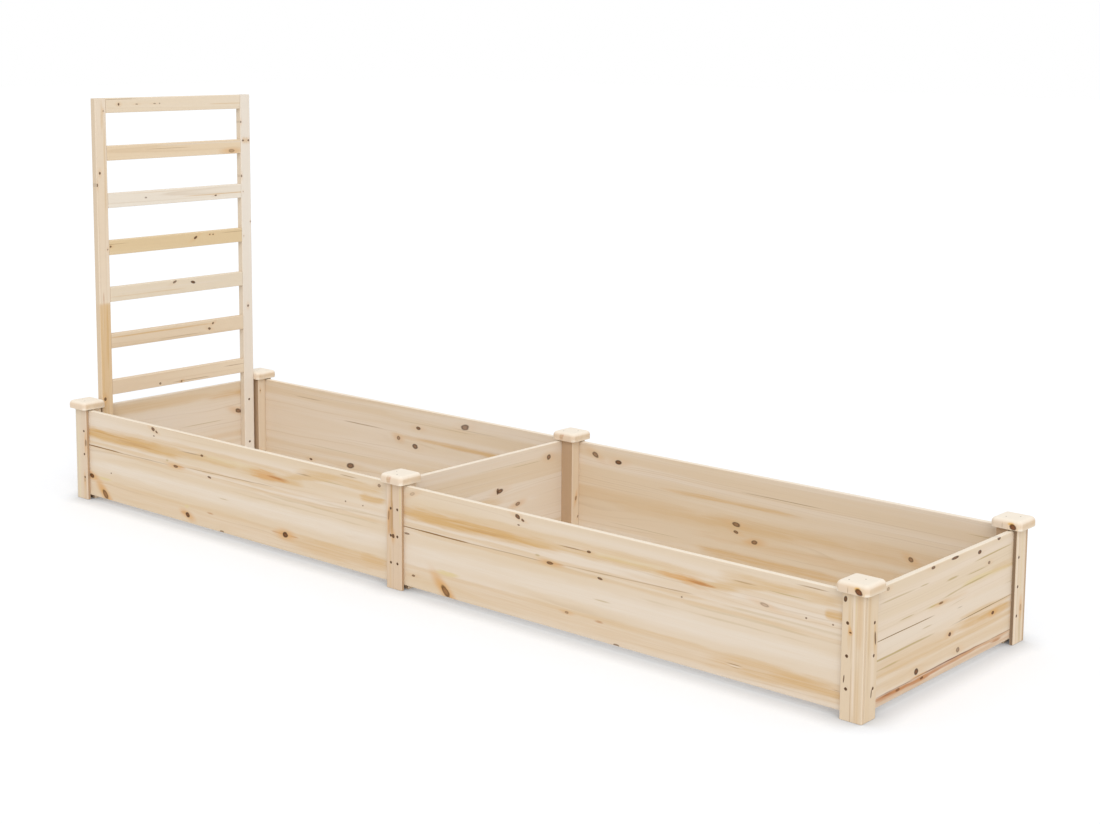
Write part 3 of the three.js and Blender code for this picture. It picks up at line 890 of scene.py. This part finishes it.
for number, place in enumerate(("front_left", "front_middle", "front_right",
                                "rear_left", "rear_middle", "rear_right")):
    node = f"{place}_post_cap"
    board = Board(node, (1, 0, 0), (0, -1, 0))
    knots = corner_knots if "right" in place else ()
    marks = corner_marks if "right" in place else stain_marks if "middle" in place else ()
    wood = softwood(f"{node}_softwood", board, CAP_TONES, heart=(-20, 40), slope=0.02, ring=4.6,
                    waver=6, seed=61 + 5.3 * number, knots=knots, marks=marks, arris=3.0,
                    pins=cap_pins[place])
    moulded_cap(node, board, wood)


# ---------- Trellis ----------
# A ladder of two uprights and seven rails, planed all round. The rails are butted between the
# uprights, which are screwed to the inside of the left end wall, two screws each.

TRELLIS_EASE = 1.8
TRELLIS_SCREW_INSET = 50
# The uprights' side tones are painted shade, darker than their faces, on their narrow sides.
FRONT_UPRIGHT = {**POST_TONES, "Pale": tone(235, 220, 201), "Warm": tone(231, 212, 187),
                 "Side Tone": tone(214, 194, 168)}
REAR_UPRIGHT = {**POST_TONES, "Pale": tone(237, 229, 217), "Warm": tone(233, 221, 206),
                "Side Tone": tone(218, 201, 178)}
RAIL_COLOURS = (
    (tone(234, 219, 198), tone(229, 210, 182)), (tone(233, 213, 184), tone(227, 203, 170)),
    (tone(239, 231, 218), tone(235, 224, 208)), (tone(231, 210, 174), tone(224, 200, 160)),
    (tone(234, 223, 203), tone(229, 214, 191)), (tone(227, 207, 180), tone(221, 198, 168)),
    (tone(230, 211, 185), tone(225, 203, 175)))
upright_knots = {
    "trellis_front_upright": [
        (10, 823, 2.4, 1.3), (1, 793, 2.4, 1.6), (28, 627, 1.6, 1.2, 0, 0.6),
        (9, 240, 3.4, 1.2, 0, 0.9, 0.5), (25, 980, 1.6, 1.2, 0, 0.5),
    ],
    "trellis_rear_upright": [
        (8, 888, 2.8, 0.8), (27, 888, 2.8, 0.8, 0, 0.9, 0.4), (1, 939, 2.2, 1.2),
        (1, 792, 2.2, 1.4), (30, 665, 1.8, 0.8, 0, 0.7), (6, 749, 1.2, 1, 0, 0.6),
        (6, 627, 1.2, 1, 0, 0.6), (17, 432, 2.6, 1.1, 0, 0.9, 0.3),
    ],
}
upright_marks = {
    "trellis_front_upright": [
        (16, 246, 246, 90, tone(219, 187, 142), 0.85, 0.02, 30),
        (22, 400, 90, 5, AMBER, 0.5, 0.5, 2), (20, 960, 60, 5, TAN, 0.6),
        (12, 502, 24, 3, RUST, 0.4), (26, 820, 150, 4, TAN, 0.5, 0.4, 2),
    ],
    "trellis_rear_upright": [(17, 888, 14, 12, AMBER, 0.6)],
}
rail_knots = {
    1: [(39, 21.5, 3.0, 0.8), (95, 20.5, 1.2, 3, 0, 0.6, 0.2), (151, 20.5, 1.2, 3, 0, 0.6, 0.2),
        (167, 20.5, 1.0, 2, 0, 0.6, 0)],
    2: [(402, 8, 4.5, 2.0, 0, 0.4, 0.6)],
    4: [(275, 24, 2.6, 2.2, -30, 1.0, 0.3), (334, 28, 1.6), (323, 28.5, 1.4), (4, 22, 2.2, 1.2)],
}

for row, seed, tones in (("front", 101.0, FRONT_UPRIGHT), ("rear", 107.0, REAR_UPRIGHT)):
    node = f"trellis_{row}_upright"
    board = Board(node, UPRIGHT, (1, 0, 0))
    width = board.extent(board.across) / MM
    wall_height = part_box("left_end_wall_board")[1].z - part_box(node)[0].z
    heights = (TRELLIS_SCREW_INSET, wall_height / MM - TRELLIS_SCREW_INSET)
    holes = outer_holes(board, width / 2, heights)
    screw_places += holes
    wood = softwood(f"{node}_softwood", board, tones, heart=(3, 25), slope=0.003, ring=3.6,
                    waver=5, seed=seed, knots=upright_knots[node], marks=upright_marks[node],
                    arris=TRELLIS_EASE)
    squared_board(node, board, TRELLIS_EASE, wood, "trellis", holes)

for number in range(1, 8):
    node = f"trellis_rail_{number}"
    board = Board(node, (0, 1, 0), (1, 0, 0))
    pale, warm = RAIL_COLOURS[number - 1]
    tones = {**POST_TONES, "Pale": pale, "Warm": warm, "Side Tone": warm}
    knots = rail_knots.get(number) or loose_knots(board, 2, number)
    wood = softwood(f"{node}_softwood", board, tones, heart=(6, 24), slope=0.006, ring=3.4,
                    waver=6, seed=120 + 4.1 * number, knots=knots,
                    marks=loose_marks(board, 2, 70 + number), arris=TRELLIS_EASE)
    squared_board(node, board, TRELLIS_EASE, wood, "trellis")


# ---------- Screws ----------
# Countersunk steel screws with a cross recess, darkened to bronze. Each sits a little below the
# face, with its shank in the hole of the cover.

HEAD_RADIUS = 3.1
HEAD_RIM = 0.3
HEAD_EASE = 0.25
HEAD_DEPTH = 1.6
HEAD_BELOW_FACE = 0.3
SHANK_RADIUS = 1.7
SCREW_REACH = 7.8
RECESS_LENGTH = 3.6
RECESS_WIDTH = 0.75
RECESS_DEPTH = 1.0
RECESS_TAPER = 0.3
SPECKLES_PER_METRE = 1400


def model_screw():
    """One screw along -Z, with its head's top at the origin."""
    bpy.ops.object.select_all(action="DESELECT")
    bpy.ops.mesh.primitive_cylinder_add(vertices=32, radius=HEAD_RADIUS * MM, depth=HEAD_RIM * MM,
                                        location=(0, 0, -HEAD_RIM / 2 * MM))
    screw = bpy.context.object
    bpy.ops.object.transform_apply(location=True)
    bpy.ops.object.mode_set(mode="EDIT")
    bpy.ops.mesh.select_mode(type="FACE")
    bpy.ops.mesh.select_all(action="DESELECT")
    mesh = bmesh.from_edit_mesh(screw.data)
    for face in mesh.faces:
        face.select_set(face.normal.z < -0.9)
    bmesh.update_edit_mesh(screw.data)
    share = SHANK_RADIUS / HEAD_RADIUS
    down_cone = {"value": (0, 0, (HEAD_RIM - HEAD_DEPTH) * MM)}
    down_shank = {"value": (0, 0, (HEAD_DEPTH - SCREW_REACH) * MM)}
    bpy.ops.mesh.extrude_region_move(TRANSFORM_OT_translate=down_cone)
    bpy.ops.transform.resize(value=(share, share, 1))
    bpy.ops.mesh.extrude_region_move(TRANSFORM_OT_translate=down_shank)
    pick_edges(screw, lambda a, b: min(a.z, b.z) > -NEAR)
    round_edges(HEAD_EASE, 3)
    bpy.ops.object.mode_set(mode="OBJECT")
    for length, width in ((RECESS_LENGTH, RECESS_WIDTH), (RECESS_WIDTH, RECESS_LENGTH)):
        bar = start_block("recess", (0, 0, 0), (length * MM, width * MM, 2 * RECESS_DEPTH * MM))
        pick_edges(bar, lambda a, b: max(a.z, b.z) < 0)
        round_edges(RECESS_TAPER, 2)
        bpy.ops.object.mode_set(mode="OBJECT")
        cut_away(screw, bar)
    return screw


def bronzed_steel():
    """Dull brown metal with a fine speckle."""
    material = bpy.data.materials.new("bronzed_steel")
    w = cleared(material)
    place = w.node("ShaderNodeTexCoord").outputs["Object"]
    speckle = w.noise(w.vector("MULTIPLY", place, (SPECKLES_PER_METRE,) * 3), 3.0)
    shader = w.node("ShaderNodeBsdfPrincipled", {
        "Base Color": w.mix(w.ramp(speckle, 0.3, 0.7), tone(90, 62, 38), tone(118, 88, 58)),
        "Metallic": 0.4, "Roughness": w.plus(0.34, w.times(speckle, 0.25))})
    w.node("ShaderNodeOutputMaterial", {"Surface": shader.outputs[0]})
    return material


screw = model_screw()
bpy.ops.object.shade_smooth_by_angle(angle=math.radians(35))
screw.data.materials.append(bronzed_steel())
draw = random.Random(40)
for number, (entry, way) in enumerate(screw_places, 1):
    copy = screw.copy()
    copy.data = screw.data.copy()
    copy.name = f"screw_{number}"
    bpy.context.scene.collection.objects.link(copy)
    spin = Matrix.Rotation(draw.uniform(0, math.pi / 2), 4, "Z")
    turn = Vector((0, 0, -1)).rotation_difference(way).to_matrix().to_4x4()
    copy.data.transform(Matrix.Translation(entry + way * HEAD_BELOW_FACE * MM) @ turn @ spin)
    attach(copy, BODY)
bpy.data.objects.remove(screw)


# ---------- Floor and light ----------
# A plain white floor under an even sky, and one soft lamp from above the front right corner. The
# floor keeps the bed's soft shadow, and a painted shadow deepens it close to the boards.

FLOOR_SIZE = 60
FLOOR_SEEN = (0.785, 0.8, 0.825, 1)
FLOOR_BOUNCE = (0.8, 0.8, 0.8, 1)
FLOOR_GLOW = 0.22
# Reach of the floor's painted shadow, and the share of light it keeps where the bed closes the
# floor in most.
PAINTED_SHADOW_REACH = 0.06
PAINTED_SHADOW_KEEPS = 0.31
SKY = 0.80
WHITE = (1, 1, 1, 1)
LAMP_PLACE = Vector((3.0, -3.0, 3.4))
LAMP_ANGLE = math.radians(40)
LAMP_ENERGY = 1.14


def looked_at(w):
    """1 where the eye sees a surface, straight or in a gloss, and 0 where only its light counts."""
    rays = w.node("ShaderNodeLightPath").outputs
    mirrored = w.math("MAXIMUM", rays["Is Glossy Ray"], rays["Is Transmission Ray"])
    return w.math("MAXIMUM", rays["Is Camera Ray"], mirrored)


bpy.ops.object.select_all(action="DESELECT")
bpy.ops.mesh.primitive_plane_add(size=FLOOR_SIZE, location=(0, 0, 0))
floor = bpy.context.object
floor.name = "floor"
paper = bpy.data.materials.new("floor_paper")
w = cleared(paper)
# Painted shadow: near the boards, the floor's colour and glow are darkened by how closely the bed
# closes it in.
painted_shadow_ao = w.node("ShaderNodeAmbientOcclusion", {"Distance": PAINTED_SHADOW_REACH}).outputs["AO"]
light_left_by_painted_shadow = w.plus(PAINTED_SHADOW_KEEPS, w.times(painted_shadow_ao, 1 - PAINTED_SHADOW_KEEPS))
shade = w.mix(light_left_by_painted_shadow, (0, 0, 0, 1), FLOOR_SEEN)
lit = w.node("ShaderNodeBsdfDiffuse", {"Color": shade}).outputs[0]
glow = w.node("ShaderNodeEmission", {"Color": WHITE, "Strength": w.times(light_left_by_painted_shadow, FLOOR_GLOW)})
seen = w.node("ShaderNodeAddShader", {0: lit, 1: glow.outputs[0]}).outputs[0]
bounce = w.node("ShaderNodeBsdfDiffuse", {"Color": FLOOR_BOUNCE}).outputs[0]
choice = w.node("ShaderNodeMixShader", {"Fac": looked_at(w), 1: bounce, 2: seen})
w.node("ShaderNodeOutputMaterial", {"Surface": choice.outputs[0]})
floor.data.materials.append(paper)

world = bpy.data.worlds.new("even_sky")
bpy.context.scene.world = world
w = cleared(world)
strength = w.plus(SKY, w.times(looked_at(w), 1 - SKY))
sky = w.node("ShaderNodeBackground", {"Color": WHITE, "Strength": strength})
w.node("ShaderNodeOutputWorld", {"Surface": sky.outputs[0]})

lamp_data = bpy.data.lights.new("soft_lamp", "SUN")
lamp_data.angle = LAMP_ANGLE
lamp_data.energy = LAMP_ENERGY
lamp = bpy.data.objects.new("soft_lamp", lamp_data)
bpy.context.scene.collection.objects.link(lamp)
lamp.location = LAMP_PLACE
lamp.rotation_euler = (-LAMP_PLACE).to_track_quat("-Z", "Y").to_euler()


# ---------- Camera ----------
# It stands in front of the right end, at about eye height of someone sitting, and looks along
# the bed to the trellis.

CAMERA_PLACE = (2.7587, -2.9737, 1.1977)
CAMERA_YAW = math.radians(40.989)
CAMERA_PITCH = math.radians(7.737)
CAMERA_ROLL = math.radians(0.426)
CAMERA_LENS = 59.67
CAMERA_SHIFT = -0.12

camera_data = bpy.data.cameras.new("camera")
camera_data.lens = CAMERA_LENS
camera_data.sensor_width = 36
camera_data.shift_y = CAMERA_SHIFT
camera = bpy.data.objects.new("camera", camera_data)
bpy.context.scene.collection.objects.link(camera)
forward = Vector((-math.sin(CAMERA_YAW) * math.cos(CAMERA_PITCH),
                  math.cos(CAMERA_YAW) * math.cos(CAMERA_PITCH), -math.sin(CAMERA_PITCH)))
right = Vector((math.cos(CAMERA_YAW), math.sin(CAMERA_YAW), 0))
up = right.cross(forward)
side = right * math.cos(CAMERA_ROLL) + up * math.sin(CAMERA_ROLL)
top = up * math.cos(CAMERA_ROLL) - right * math.sin(CAMERA_ROLL)
turn = Matrix((side, top, -forward)).transposed().to_4x4()
camera.matrix_world = Matrix.Translation(CAMERA_PLACE) @ turn
bpy.context.scene.camera = camera
bpy.context.scene.view_settings.view_transform = "Standard"
